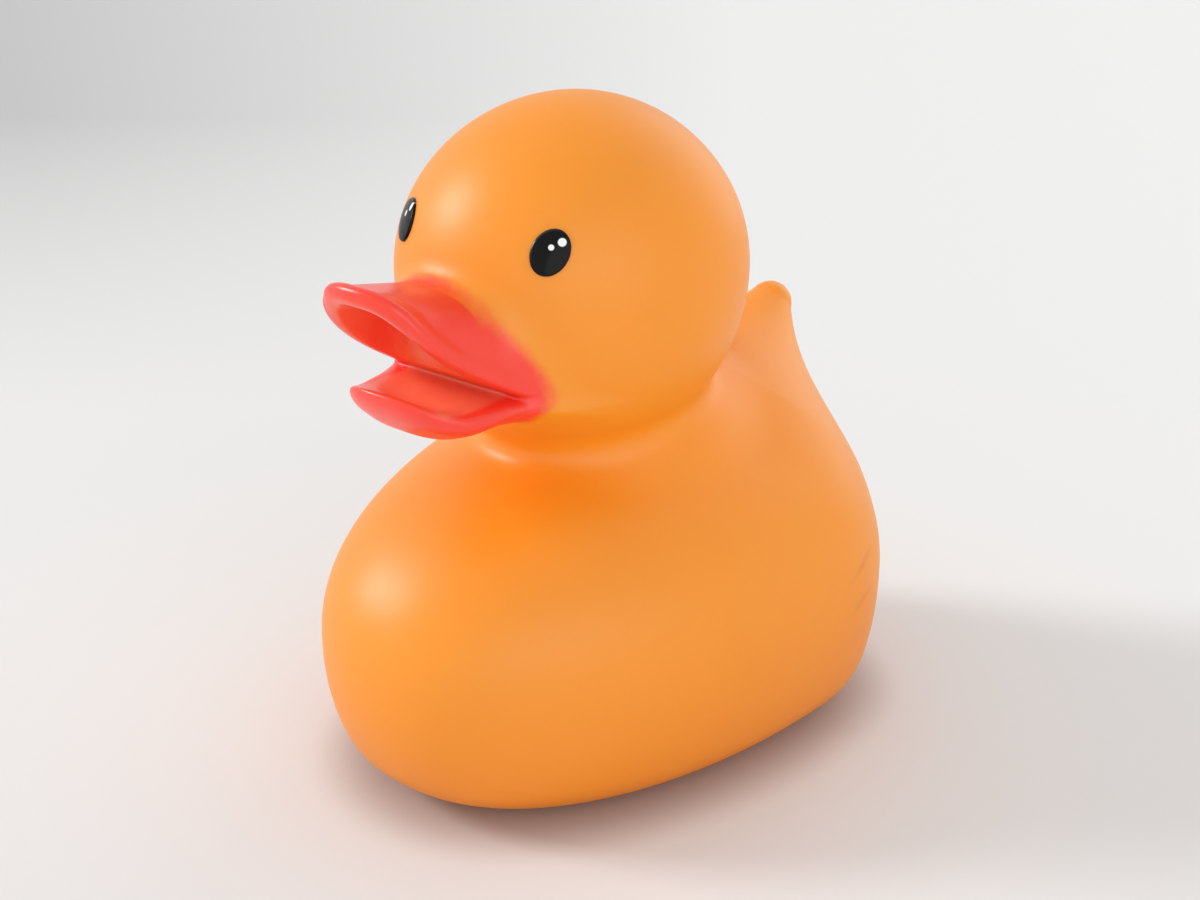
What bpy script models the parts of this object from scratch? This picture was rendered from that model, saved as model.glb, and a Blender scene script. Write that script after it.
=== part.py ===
"""Rubber duck bath toy with an open bill, modelled at life size in metres.

The duck stands on its flat base on the plane Z = 0. Its bill points along -Y and
its own left side is +X. The moulding is described by a distance function: each
form has its own sizes and is joined to the next by a soft fillet. The function is
then meshed and thinned to a light skin. The eyes are separate oval pads.
"""
import bpy
import numpy as np
from math import cos, radians, sin

# Body, measured from the centre of its widest section
BODY_Y = 0.0141
BODY_Z = 0.01956
BODY_HALF_WIDTH = 0.03259
BODY_FRONT = 0.05732
BODY_BACK = 0.02712
BODY_ABOVE = 0.02652
BODY_BELOW = 0.03659
BODY_FULLNESS = 2.2
BODY_TAPER = 0.55
BASE_FILLET = 0.0072

# Tail, a cone with a round tip, measured from the body's centre
TAIL_ROOT_BACK = 0.01258
TAIL_ROOT_RISE = 0.01878
TAIL_ROOT_RADIUS = 0.00854
TAIL_TIP_BACK = 0.02616
TAIL_TIP_RISE = 0.03196
TAIL_TIP_RADIUS = 0.00243
TAIL_FILLET = 0.0215

# Neck, a soft ring between body and head
NECK_FORWARD = 0.0118
NECK_RISE = 0.02244
NECK_RADIUS = 0.0171
NECK_HALF_HEIGHT = 0.0108
NECK_FILLET = 0.0062

# Head, measured from the body's centre to its own
HEAD_FORWARD = 0.01822
HEAD_RISE = 0.04676
HEAD_HALF_WIDTH = 0.0225
HEAD_FRONT = 0.02441
HEAD_BACK = 0.0225
HEAD_ABOVE = 0.02202
HEAD_BELOW = 0.02456
HEAD_FILLET = 0.0042

# Upper bill, an arch that grows out of the head and is cut by the open mouth.
# The lip is its lower edge, measured down from the head's centre
LIP_DROP = 0.01012
BILL_START = 0.01958
BILL_NARROWING = 0.0105
BILL_ROOT_HALF_WIDTH = 0.0118
BILL_TIP_HALF_WIDTH = 0.0095
BILL_ROOT_HEIGHT = 0.0114
BILL_CLIMB = 0.18
BILL_ARCH_FULLNESS = 2.5
BILL_TIP_FULLNESS = 3.0
BILL_WALL = 0.0022
BILL_LIP_RADIUS = 0.00125
BILL_FILLET = 0.0035
MOUTH_CORNER = 0.02228
MOUTH_REACH = 0.0151
MOUTH_RISE = 0.0145
SPATULA_REACH = 0.0015
SPATULA_HALF_WIDTH = 0.0068
SPATULA_START = 0.35
SPATULA_GROWTH = 0.6
THROAT_DEPTH = 0.0019
THROAT_FILLET = 0.005

# Lower bill, a shallow tray with a round lip
LOWER_START = 0.02558
LOWER_REACH = 0.0094
LOWER_FLARE = 0.0095
LOWER_HALF_WIDTH = 0.0102
LOWER_FULLNESS = 2.5
LOWER_LIP_RADIUS = 0.00125
LOWER_LIP_DROP = 0.0006
LOWER_ROOT_DEPTH = 0.0027
LOWER_TIP_DEPTH = 0.0044
LOWER_UPTURN = 0.0027
LOWER_LEVEL_SHARE = 0.32
BELLY_EDGE = 1.08
BELLY_SPREAD = 0.5
TRAY_DISH = 0.0014
TRAY_DISH_SPREAD = 0.0062
CHEEK_FILLET = 0.0035
LOWER_FILLET = 0.006

# Eyes, raised oval pads that sit in shallow seats in the head
EYE_HALF_WIDTH = 0.00217
EYE_HALF_HEIGHT = 0.00278
LEFT_EYE_TURN = 34.2
LEFT_EYE_RISE = 17.6
LEFT_EYE_LEAN = 26.0
RIGHT_EYE_TURN = 26.2
RIGHT_EYE_RISE = 19.2
RIGHT_EYE_LEAN = 33.0
EYE_PROUD = 0.00035
EYE_BEVEL = 0.0002
EYE_SEAT_DEPTH = 0.0009
EYE_CLEARANCE = 0.0003

# Fineness of the skin
GRID_STEP = 0.0008
SKIN_TRIANGLES = 6400
EYE_POINTS = 28

ORANGE = (0.90, 0.31, 0.035, 1.0)
EYE_BLACK = (0.012, 0.012, 0.013, 1.0)

HEAD_Y = BODY_Y - HEAD_FORWARD
HEAD_Z = BODY_Z + HEAD_RISE
LIP_Z = HEAD_Z - LIP_DROP


def soft_min(a, b, fillet):
    """Union of two distances with a fillet of the given size."""
    near = np.maximum(fillet - np.abs(a - b), 0.0) / fillet
    return np.minimum(a, b) - near * near * fillet * 0.25


def soft_max(a, b, fillet):
    """Intersection of two distances with a rounded edge."""
    return -soft_min(-a, -b, fillet)


def ease(t):
    """Smooth step from 0 to 1."""
    t = np.clip(t, 0.0, 1.0)
    return t * t * (3.0 - 2.0 * t)


def split_egg(x, y, z, centre, half_width, front, back, above, below, power):
    """Distance to an egg form with its own reach in each direction."""
    dy = y - centre[0]
    dz = z - centre[1]
    reach = np.where(dy < 0.0, front, back)
    height = np.where(dz > 0.0, above, below)
    u = np.abs(x) / half_width
    v = np.abs(dy) / reach
    w = np.abs(dz) / height
    k = np.maximum(u ** power + v ** power + w ** power, 1e-9) ** (1.0 / power)
    p = power - 1.0
    slope = np.sqrt((u ** p / half_width) ** 2 + (v ** p / reach) ** 2 + (w ** p / height) ** 2)
    slope = slope * np.maximum(k, 1e-3) ** (-p)
    return (k - 1.0) / np.maximum(slope, 1e-3)


def round_cone(x, y, z, root, tip, root_radius, tip_radius):
    """Distance to a cone with round ends in the plane X = 0."""
    dy = tip[0] - root[0]
    dz = tip[1] - root[1]
    t = ((y - root[0]) * dy + (z - root[1]) * dz) / (dy * dy + dz * dz)
    t = np.clip(t, 0.0, 1.0)
    away = np.sqrt(x * x + (y - root[0] - t * dy) ** 2 + (z - root[1] - t * dz) ** 2)
    return away - (root_radius + (tip_radius - root_radius) * t)


def arch(x, z, half_width, height, power):
    """Distance to the upper half of a full arch that stands on z = 0."""
    half_width = np.maximum(half_width, 1e-4)
    height = np.maximum(height, 1e-4)
    u = np.maximum(np.abs(x), 1e-9) / half_width
    w = np.maximum(z, 1e-9) / height
    k = (u ** power + w ** power) ** (1.0 / power)
    p = power - 1.0
    slope = np.sqrt((u ** p / half_width) ** 2 + (w ** p / height) ** 2) * k ** (-p)
    return (k - 1.0) / np.maximum(slope, 1e-3)


def body_with_tail(x, y, z):
    """Body, tail and neck."""
    width = 1.0 + BODY_TAPER * (y - BODY_Y)
    egg = split_egg(x / width, y, z, (BODY_Y, BODY_Z), BODY_HALF_WIDTH, BODY_FRONT,
                    BODY_BACK, BODY_ABOVE, BODY_BELOW, BODY_FULLNESS)
    root = (BODY_Y + TAIL_ROOT_BACK, BODY_Z + TAIL_ROOT_RISE)
    tip = (BODY_Y + TAIL_TIP_BACK, BODY_Z + TAIL_TIP_RISE)
    tail = round_cone(x, y, z, root, tip, TAIL_ROOT_RADIUS, TAIL_TIP_RADIUS)
    neck = split_egg(x, y, z, (BODY_Y - NECK_FORWARD, BODY_Z + NECK_RISE), NECK_RADIUS,
                     NECK_RADIUS, NECK_RADIUS, NECK_HALF_HEIGHT, NECK_HALF_HEIGHT, 2.0)
    return soft_min(soft_min(egg, tail, TAIL_FILLET), neck, NECK_FILLET)


def head(x, y, z):
    """Head without its bill."""
    return split_egg(x, y, z, (HEAD_Y, HEAD_Z), HEAD_HALF_WIDTH, HEAD_FRONT,
                     HEAD_BACK, HEAD_ABOVE, HEAD_BELOW, 2.0)


def lower_tray(x, y, z, run):
    """Lower bill and the floor of the mouth."""
    lip = LOWER_LIP_RADIUS
    start = HEAD_Y - LOWER_START
    level_run = LOWER_LEVEL_SHARE * LOWER_REACH
    rise = np.clip((start - level_run - y) / (LOWER_REACH - level_run), 0.0, 1.2)
    rim = LIP_Z - LOWER_LIP_DROP + LOWER_UPTURN * rise ** 2
    depth = LOWER_ROOT_DEPTH + (LOWER_TIP_DEPTH - LOWER_ROOT_DEPTH) * ease(
        run / (LOWER_START - BILL_START + 0.8 * LOWER_REACH))
    half = LOWER_HALF_WIDTH + (BILL_ROOT_HALF_WIDTH - LOWER_HALF_WIDTH) * ease(
        (y - start) / LOWER_FLARE)
    p = LOWER_FULLNESS - 1.0
    u = np.maximum(np.abs(x), 1e-9) / half
    v = np.maximum(start - y, 0.0) / LOWER_REACH
    plan = (u ** LOWER_FULLNESS + v ** LOWER_FULLNESS) ** (1.0 / LOWER_FULLNESS)
    slope = np.sqrt((u ** p / half) ** 2 + (v ** p / LOWER_REACH) ** 2) * plan ** (-p)
    side = (plan - 1.0) / np.maximum(slope, 1e-3) + lip
    belly = np.maximum(depth - 2.0 * lip, 0.0) * ease((BELLY_EDGE - plan) / BELLY_SPREAD)
    level = np.maximum(z - (rim - lip), (rim - lip - belly) - z)
    outside = np.sqrt(np.maximum(side, 0.0) ** 2 + np.maximum(level, 0.0) ** 2)
    tray = outside + np.minimum(np.maximum(side, level), 0.0) - lip
    throat = HEAD_Y - MOUTH_CORNER - THROAT_DEPTH
    floor = rim - TRAY_DISH * ease(-side / TRAY_DISH_SPREAD) * ease((throat - y) / TRAY_DISH_SPREAD)
    return tray, floor


def bill(x, y, z):
    """Whole bill as a filled form, and the air in and before the open mouth."""
    corner = HEAD_Y - MOUTH_CORNER
    run = np.maximum(HEAD_Y - BILL_START - y, 0.0)
    up = z - LIP_Z
    half = BILL_ROOT_HALF_WIDTH + (BILL_TIP_HALF_WIDTH - BILL_ROOT_HALF_WIDTH) * ease(
        run / BILL_NARROWING)
    height = BILL_ROOT_HEIGHT + BILL_CLIMB * run
    full = BILL_ARCH_FULLNESS + (BILL_TIP_FULLNESS - BILL_ARCH_FULLNESS) * ease(run / BILL_NARROWING)
    vault = arch(x, np.maximum(up, 0.0), half, height, full)
    inner = arch(x, np.maximum(up, 0.0), half - BILL_WALL, height - BILL_WALL, full)
    s = np.clip(up / MOUTH_RISE, 0.0, 1.0)
    spatula = SPATULA_REACH * ease((s - SPATULA_START) / SPATULA_GROWTH)
    spatula = spatula * np.maximum(1.0 - (x / SPATULA_HALF_WIDTH) ** 2, 0.0)
    line = corner - MOUTH_REACH * (1.0 - (1.0 - s) ** 2) - spatula
    ahead = (line - y) / np.sqrt(1.0 + (2.0 * MOUTH_REACH * (1.0 - s) / MOUTH_RISE) ** 2)
    lip = BILL_LIP_RADIUS
    upper = soft_max(soft_max(vault, ahead, 1.6 * lip), -up - 0.6 * lip, 0.8 * lip)
    bead = np.sqrt((vault + 0.95 * lip) ** 2 + (ahead + lip) ** 2) - lip
    bead = np.maximum(bead, -up - 0.4 * lip)
    upper = soft_min(upper, bead, lip)
    tray, floor = lower_tray(x, y, z, run)
    whole = soft_min(upper, tray, CHEEK_FILLET)
    whole = np.maximum(whole, y - HEAD_Y + 0.25 * HEAD_FRONT)
    cavity = soft_max(inner, y - (corner - THROAT_DEPTH), THROAT_FILLET)
    air = soft_max(soft_min(-ahead, cavity, 0.7 * lip), floor - z, 0.25 * lip)
    return whole, air


def duck_distance(x, y, z):
    """Signed distance to the moulded duck, negative inside."""
    form = soft_min(body_with_tail(x, y, z), head(x, y, z), HEAD_FILLET)
    beak, air = bill(x, y, z)
    fillet = BILL_FILLET + (LOWER_FILLET - BILL_FILLET) * ease((LIP_Z - z) / LOWER_ROOT_DEPTH)
    form = soft_min(form, beak, fillet)
    form = soft_max(form, -air, 0.8 * BILL_LIP_RADIUS)
    return soft_max(form, -z, BASE_FILLET)


def mesh_from_distance(name, distance, low, high, step):
    """Closed mesh of quads where the distance is zero, one point a grid cell."""
    axes = [np.arange(a, b + step, step) for a, b in zip(low, high)]
    grid = np.meshgrid(axes[0], axes[1], axes[2], indexing="ij")
    field = distance(grid[0], grid[1], grid[2])
    cells = np.array(field.shape) - 1
    total = np.zeros((cells[0], cells[1], cells[2], 3))
    count = np.zeros((cells[0], cells[1], cells[2]), dtype=int)
    crossings = []
    for axis in range(3):
        first = [slice(None)] * 3
        second = [slice(None)] * 3
        first[axis] = slice(0, -1)
        second[axis] = slice(1, None)
        a = field[tuple(first)]
        b = field[tuple(second)]
        edge = np.argwhere((a < 0.0) != (b < 0.0))
        va = a[tuple(edge.T)]
        vb = b[tuple(edge.T)]
        point = edge.astype(float)
        point[:, axis] += va / (va - vb)
        others = [k for k in range(3) if k != axis]
        ring = []
        for shift in ((-1, -1), (0, -1), (0, 0), (-1, 0)):
            cell = edge.copy()
            cell[:, others[0]] += shift[0]
            cell[:, others[1]] += shift[1]
            np.add.at(total, tuple(cell.T), point)
            np.add.at(count, tuple(cell.T), 1)
            ring.append(cell)
        outward = (va < 0.0) if axis != 1 else (va >= 0.0)
        crossings.append((ring, outward))
    used = count > 0
    index = np.full(count.shape, -1)
    index[used] = np.arange(int(used.sum()))
    points = total[used] / count[used][:, None] * step + np.array([a[0] for a in axes])
    faces = []
    for ring, outward in crossings:
        quad = np.stack([index[tuple(cell.T)] for cell in ring], axis=1)
        quad[~outward] = quad[~outward][:, ::-1]
        faces.append(quad)
    points = settle(points, distance, step)
    mesh = bpy.data.meshes.new(name)
    mesh.from_pydata(points.tolist(), [], np.concatenate(faces).tolist())
    mesh.update()
    return mesh


def settle(points, distance, step):
    """Move points along the slope of the distance until they lie on the form."""
    tiny = 0.05 * step
    for _ in range(2):
        x, y, z = points.T
        value = distance(x, y, z)
        slope = np.stack([
            distance(x + tiny, y, z) - distance(x - tiny, y, z),
            distance(x, y + tiny, z) - distance(x, y - tiny, z),
            distance(x, y, z + tiny) - distance(x, y, z - tiny)], axis=1) / (2.0 * tiny)
        size = np.maximum((slope ** 2).sum(axis=1), 0.25)
        move = -0.8 * value[:, None] * slope / size[:, None]
        points = points + np.clip(move, -0.3 * step, 0.3 * step)
    return points


def add_object(name, mesh, material):
    """Object in the scene with smooth faces and its own material."""
    mesh.shade_smooth()
    if material is not None:
        mesh.materials.append(material)
    thing = bpy.data.objects.new(name, mesh)
    bpy.context.scene.collection.objects.link(thing)
    return thing


def plain_material(name, colour, roughness):
    """Principled material with one colour."""
    material = bpy.data.materials.new(name)
    material.use_nodes = True
    shader = material.node_tree.nodes["Principled BSDF"]
    shader.inputs["Base Color"].default_value = colour
    shader.inputs["Roughness"].default_value = roughness
    shader.inputs["Metallic"].default_value = 0.0
    return material


def head_point(direction, offset):
    """Point on the head in a direction from its centre, moved along the normal."""
    d = np.array(direction) / np.linalg.norm(direction)
    reach = np.array([
        HEAD_HALF_WIDTH,
        HEAD_FRONT if d[1] < 0.0 else HEAD_BACK,
        HEAD_ABOVE if d[2] > 0.0 else HEAD_BELOW])
    r = 1.0 / np.sqrt(((d / reach) ** 2).sum())
    normal = d * r / reach ** 2
    normal = normal / np.linalg.norm(normal)
    return np.array([0.0, HEAD_Y, HEAD_Z]) + d * r + normal * offset


def eye_mesh(name, side, angles, rings):
    """Closed oval pad that follows the head; rings are (share, extra, offset)."""
    around, up, lean = [radians(angle) for angle in angles]
    out = np.array([side * sin(around) * cos(up), -cos(around) * cos(up), sin(up)])
    back = np.array([side * cos(around), sin(around), 0.0])
    high = np.cross(out, back)
    if high[2] < 0.0:
        high = -high
    points = []
    faces = []
    for share, extra, offset in rings:
        for k in range(EYE_POINTS):
            angle = 2.0 * np.pi * k / EYE_POINTS
            u = (EYE_HALF_WIDTH * share + extra) * np.cos(angle)
            v = (EYE_HALF_HEIGHT * share + extra) * np.sin(angle)
            across = u * cos(lean) + v * sin(lean)
            along = -u * sin(lean) + v * cos(lean)
            direction = out + (back * across + high * along) / HEAD_HALF_WIDTH
            points.append(head_point(direction, offset).tolist())
    for r in range(len(rings) - 1):
        for k in range(EYE_POINTS):
            n = (k + 1) % EYE_POINTS
            faces.append([r * EYE_POINTS + k, r * EYE_POINTS + n,
                          (r + 1) * EYE_POINTS + n, (r + 1) * EYE_POINTS + k])
    last = (len(rings) - 1) * EYE_POINTS
    points.append(head_point(out, rings[0][2]).tolist())
    points.append(head_point(out, rings[-1][2]).tolist())
    for k in range(EYE_POINTS):
        n = (k + 1) % EYE_POINTS
        faces.append([len(points) - 2, n, k])
        faces.append([len(points) - 1, last + k, last + n])
    if np.dot(np.cross(back, high), out) > 0.0:
        faces = [face[::-1] for face in faces]
    mesh = bpy.data.meshes.new(name)
    mesh.from_pydata(points, [], faces)
    mesh.update()
    return mesh


def build():
    """Model the duck and its two eyes."""
    for thing in list(bpy.data.objects):
        bpy.data.objects.remove(thing, do_unlink=True)
    vinyl = plain_material("orange_vinyl", ORANGE, 0.45)
    black = plain_material("eye_black", EYE_BLACK, 0.12)

    margin = 4.0 * GRID_STEP
    half = max(BODY_HALF_WIDTH * (1.0 + abs(BODY_TAPER) * max(BODY_FRONT, BODY_BACK)),
               HEAD_HALF_WIDTH, BILL_ROOT_HALF_WIDTH) + margin
    front = min(BODY_Y - BODY_FRONT,
                HEAD_Y - MOUTH_CORNER - MOUTH_REACH - SPATULA_REACH - BILL_LIP_RADIUS,
                HEAD_Y - LOWER_START - LOWER_REACH, HEAD_Y - HEAD_FRONT) - margin
    rear = max(BODY_Y + BODY_BACK, BODY_Y + TAIL_TIP_BACK + TAIL_TIP_RADIUS,
               BODY_Y + TAIL_ROOT_BACK + TAIL_ROOT_RADIUS, HEAD_Y + HEAD_BACK)
    rear = rear + 0.1 * TAIL_FILLET + margin
    top = max(HEAD_Z + HEAD_ABOVE, BODY_Z + TAIL_TIP_RISE + TAIL_TIP_RADIUS) + margin
    skin = mesh_from_distance("duck_body", duck_distance, (-half - 0.37 * GRID_STEP, front, -margin),
                              (half, rear, top), GRID_STEP)
    duck = add_object("duck_body", skin, vinyl)
    thin = duck.modifiers.new("thin_skin", "DECIMATE")
    thin.decimate_type = "COLLAPSE"
    thin.ratio = min(1.0, SKIN_TRIANGLES / (2.0 * len(skin.polygons)))
    thin.use_collapse_triangulate = True

    deep = EYE_SEAT_DEPTH - EYE_CLEARANCE
    bevel = EYE_BEVEL
    pad = [(0.5, 0.0, EYE_PROUD), (0.8, 0.0, EYE_PROUD), (1.0, -bevel, EYE_PROUD),
           (1.0, -0.3 * bevel, EYE_PROUD - 0.3 * bevel), (1.0, 0.0, EYE_PROUD - bevel),
           (1.0, 0.0, -deep), (0.5, 0.0, -deep)]
    clear = EYE_CLEARANCE
    seat = [(0.5, 0.0, 3.0 * EYE_PROUD), (1.0, clear, 3.0 * EYE_PROUD),
            (1.0, clear, -EYE_SEAT_DEPTH), (0.5, 0.0, -EYE_SEAT_DEPTH)]
    left = (LEFT_EYE_TURN, LEFT_EYE_RISE, LEFT_EYE_LEAN)
    right = (RIGHT_EYE_TURN, RIGHT_EYE_RISE, RIGHT_EYE_LEAN)
    for name, side, angles in (("left_eye", 1.0, left), ("right_eye", -1.0, right)):
        add_object(name, eye_mesh(name, side, angles, pad), black)
        cutter = add_object(name + "_seat_cutter", eye_mesh(name + "_seat", side, angles, seat), None)
        cutter.hide_render = True
        cutter.display_type = "WIRE"
        cut = duck.modifiers.new(name + "_seat", "BOOLEAN")
        cut.operation = "DIFFERENCE"
        cut.solver = "EXACT"
        cut.object = cutter


build()
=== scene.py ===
"""Looks of the rubber duck: fine skin, bill paint, glossy eyes, floor, lamps and camera.

The duck stands on Z = 0 with its bill along -Y and its own left side at +X, in metres.
Its skin is grown by a Geometry Nodes tree from the same forms and fillets as the solid
part, at a much finer step, and is dressed in satin vinyl with a painted bill.
"""
import logging
import math
from dataclasses import dataclass, field, fields
from enum import Enum
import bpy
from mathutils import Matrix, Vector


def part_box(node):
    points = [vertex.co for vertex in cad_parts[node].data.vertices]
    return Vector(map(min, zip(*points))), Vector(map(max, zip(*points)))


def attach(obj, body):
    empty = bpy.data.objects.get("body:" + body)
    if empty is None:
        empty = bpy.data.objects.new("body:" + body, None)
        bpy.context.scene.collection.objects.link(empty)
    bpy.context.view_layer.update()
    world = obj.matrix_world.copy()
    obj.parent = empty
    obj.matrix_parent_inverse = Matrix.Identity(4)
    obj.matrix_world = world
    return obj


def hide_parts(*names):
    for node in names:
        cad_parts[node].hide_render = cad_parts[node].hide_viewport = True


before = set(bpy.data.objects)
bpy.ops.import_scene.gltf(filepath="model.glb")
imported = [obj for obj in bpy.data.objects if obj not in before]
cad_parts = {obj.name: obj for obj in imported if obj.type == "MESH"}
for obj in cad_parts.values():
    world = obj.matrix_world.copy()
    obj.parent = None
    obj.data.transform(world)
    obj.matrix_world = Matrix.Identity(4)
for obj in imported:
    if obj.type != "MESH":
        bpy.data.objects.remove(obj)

from types import SimpleNamespace
from typing import Any, Callable, ClassVar

import bpy
import numpy as np
from mathutils import Matrix, Vector

LOG = logging.getLogger("duck")
ROOT_BODY = "root"
Colour = tuple[float, float, float, float]
TINY = 1e-9
LEAST_REACH = 1e-4
LEAST_SLOPE = 1e-3


def operator(kind: str, flipped: bool = False) -> Callable[["Value", "Number"], "Value"]:
    """Method for one sign of arithmetic, which adds a Math node.

    Args:
        kind: The node's operation.
        flipped: Whether the other operand stands on the left.

    Returns:
        The method.
    """
    def method(self: "Value", other: "Number") -> "Value":
        """Result of the operation."""
        return self.nodes.math(kind, *((other, self) if flipped else (self, other)))
    return method


class Value:
    """A number that flows out of a node's socket and can be used in sums."""

    def __init__(self, nodes: "Nodes", socket: bpy.types.NodeSocket) -> None:
        """Keep the tree's helper and the socket."""
        self.nodes = nodes
        self.socket = socket

    __add__, __radd__ = operator("ADD"), operator("ADD", flipped=True)
    __sub__, __rsub__ = operator("SUBTRACT"), operator("SUBTRACT", flipped=True)
    __mul__, __rmul__ = operator("MULTIPLY"), operator("MULTIPLY", flipped=True)
    __truediv__, __rtruediv__ = operator("DIVIDE"), operator("DIVIDE", flipped=True)
    __pow__ = operator("POWER")

    def __neg__(self) -> "Value":
        """Change of sign."""
        return self.nodes.math("MULTIPLY", self, -1.0)

    def __abs__(self) -> "Value":
        """Size without sign."""
        return self.nodes.math("ABSOLUTE", self)

    def root(self) -> "Value":
        """Square root."""
        return self.nodes.math("SQRT", self)

    def below(self, limit: "Number") -> "Value":
        """1 where the value is under the limit, otherwise 0."""
        return self.nodes.math("LESS_THAN", self, limit)

    def clamped(self) -> "Value":
        """The value held between 0 and 1."""
        return self.nodes.math("ADD", self, 0.0, clamp=True)


Number = float | Value
Place = tuple[Value, Value, Value]


class Nodes:
    """Adds nodes to one tree and links them."""

    def __init__(self, tree: bpy.types.NodeTree) -> None:
        """Keep the tree that the nodes go into."""
        self.tree = tree

    def add(self, kind: str, settings: dict[str, Any] | None = None,
            inputs: dict[Any, Any] | None = None) -> bpy.types.Node:
        """Add one node.

        Args:
            kind: The node's type name.
            settings: Properties of the node, set before its sockets.
            inputs: Values, sockets or numbers for its input sockets, by name or place.

        Returns:
            The new node.
        """
        node = self.tree.nodes.new(kind)
        for name, value in (settings or {}).items():
            setattr(node, name, value)
        for key, value in (inputs or {}).items():
            self.feed(node.inputs[key], value)
        return node

    def feed(self, socket: bpy.types.NodeSocket, value: Any) -> None:
        """Link a value to a socket, or set the socket's own number.

        Args:
            socket: The input socket to feed.
            value: A Value, an output socket, a number or a tuple of numbers.
        """
        source = value.socket if isinstance(value, Value) else value
        if isinstance(source, bpy.types.NodeSocket):
            self.tree.links.new(source, socket)
        else:
            socket.default_value = source

    def math(self, operation: str, *values: Number, clamp: bool = False) -> Value:
        """Add one Math node.

        Args:
            operation: The node's operation.
            values: Its one or two operands.
            clamp: Whether the result is held between 0 and 1.

        Returns:
            The node's result.
        """
        settings = {"operation": operation, "use_clamp": clamp}
        node = self.add("ShaderNodeMath", settings, dict(enumerate(values)))
        return Value(self, node.outputs[0])

    def vector(self, operation: str, *values: Any, output: int = 0) -> Value:
        """Add one Vector Math node.

        Args:
            operation: The node's operation.
            values: Its operands, vectors first.
            output: Which result to take, 0 for a vector and 1 for a number.

        Returns:
            The node's result.
        """
        node = self.add("ShaderNodeVectorMath", {"operation": operation})
        for place, value in enumerate(values):
            self.feed(node.inputs[3 if operation == "SCALE" and place == 1 else place], value)
        return Value(self, node.outputs[output])

    def split(self, vector: Any) -> tuple[Value, Value, Value]:
        """Take a vector apart.

        Args:
            vector: The vector's Value or socket.

        Returns:
            Its X, Y and Z.
        """
        node = self.add("ShaderNodeSeparateXYZ", None, {0: vector})
        return tuple(Value(self, socket) for socket in node.outputs)

    def mix(self, share: Number, first: Any, second: Any) -> Value:
        """Blend two colours.

        Args:
            share: 0 for the first colour, 1 for the second.
            first: A colour or its Value.
            second: A colour or its Value.

        Returns:
            The blended colour.
        """
        node = self.add("ShaderNodeMix", {"data_type": "RGBA"})
        self.feed(node.inputs[0], share)
        self.feed(node.inputs[6], first)
        self.feed(node.inputs[7], second)
        return Value(self, node.outputs[2])

    def noise(self, place: Any, scale: float, detail: float = 2.0) -> Value:
        """Smooth noise in space.

        Args:
            place: Where it is read, as a vector.
            scale: Waves in a metre.
            detail: Octaves of finer noise.

        Returns:
            Noise between 0 and 1.
        """
        node = self.add("ShaderNodeTexNoise", {"noise_dimensions": "3D"},
                        {"Vector": place, "Scale": scale, "Detail": detail})
        return Value(self, node.outputs[0])


def smaller(a: Number, b: Number) -> Value:
    """The smaller of two values, the first or second of which is in a tree."""
    return (a if isinstance(a, Value) else b).nodes.math("MINIMUM", a, b)


def larger(a: Number, b: Number) -> Value:
    """The larger of two values, the first or second of which is in a tree."""
    return (a if isinstance(a, Value) else b).nodes.math("MAXIMUM", a, b)


def square(a: Value) -> Value:
    """A value times itself."""
    return a * a


def ease(t: Value) -> Value:
    """Smooth step from 0 to 1."""
    t = t.clamped()
    return t * t * (3.0 - 2.0 * t)


def soft_min(a: Value, b: Value, fillet: Number) -> Value:
    """Union of two distances with a fillet.

    Args:
        a: First distance.
        b: Second distance.
        fillet: Width of the blend.

    Returns:
        The joined distance.
    """
    near = larger(fillet - abs(a - b), 0.0) / fillet
    return smaller(a, b) - square(near) * fillet * 0.25


def soft_max(a: Value, b: Value, fillet: Number) -> Value:
    """Intersection of two distances with a rounded edge.

    Args:
        a: First distance.
        b: Second distance.
        fillet: Width of the rounding.

    Returns:
        The cut distance.
    """
    return -soft_min(-a, -b, fillet)


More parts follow.
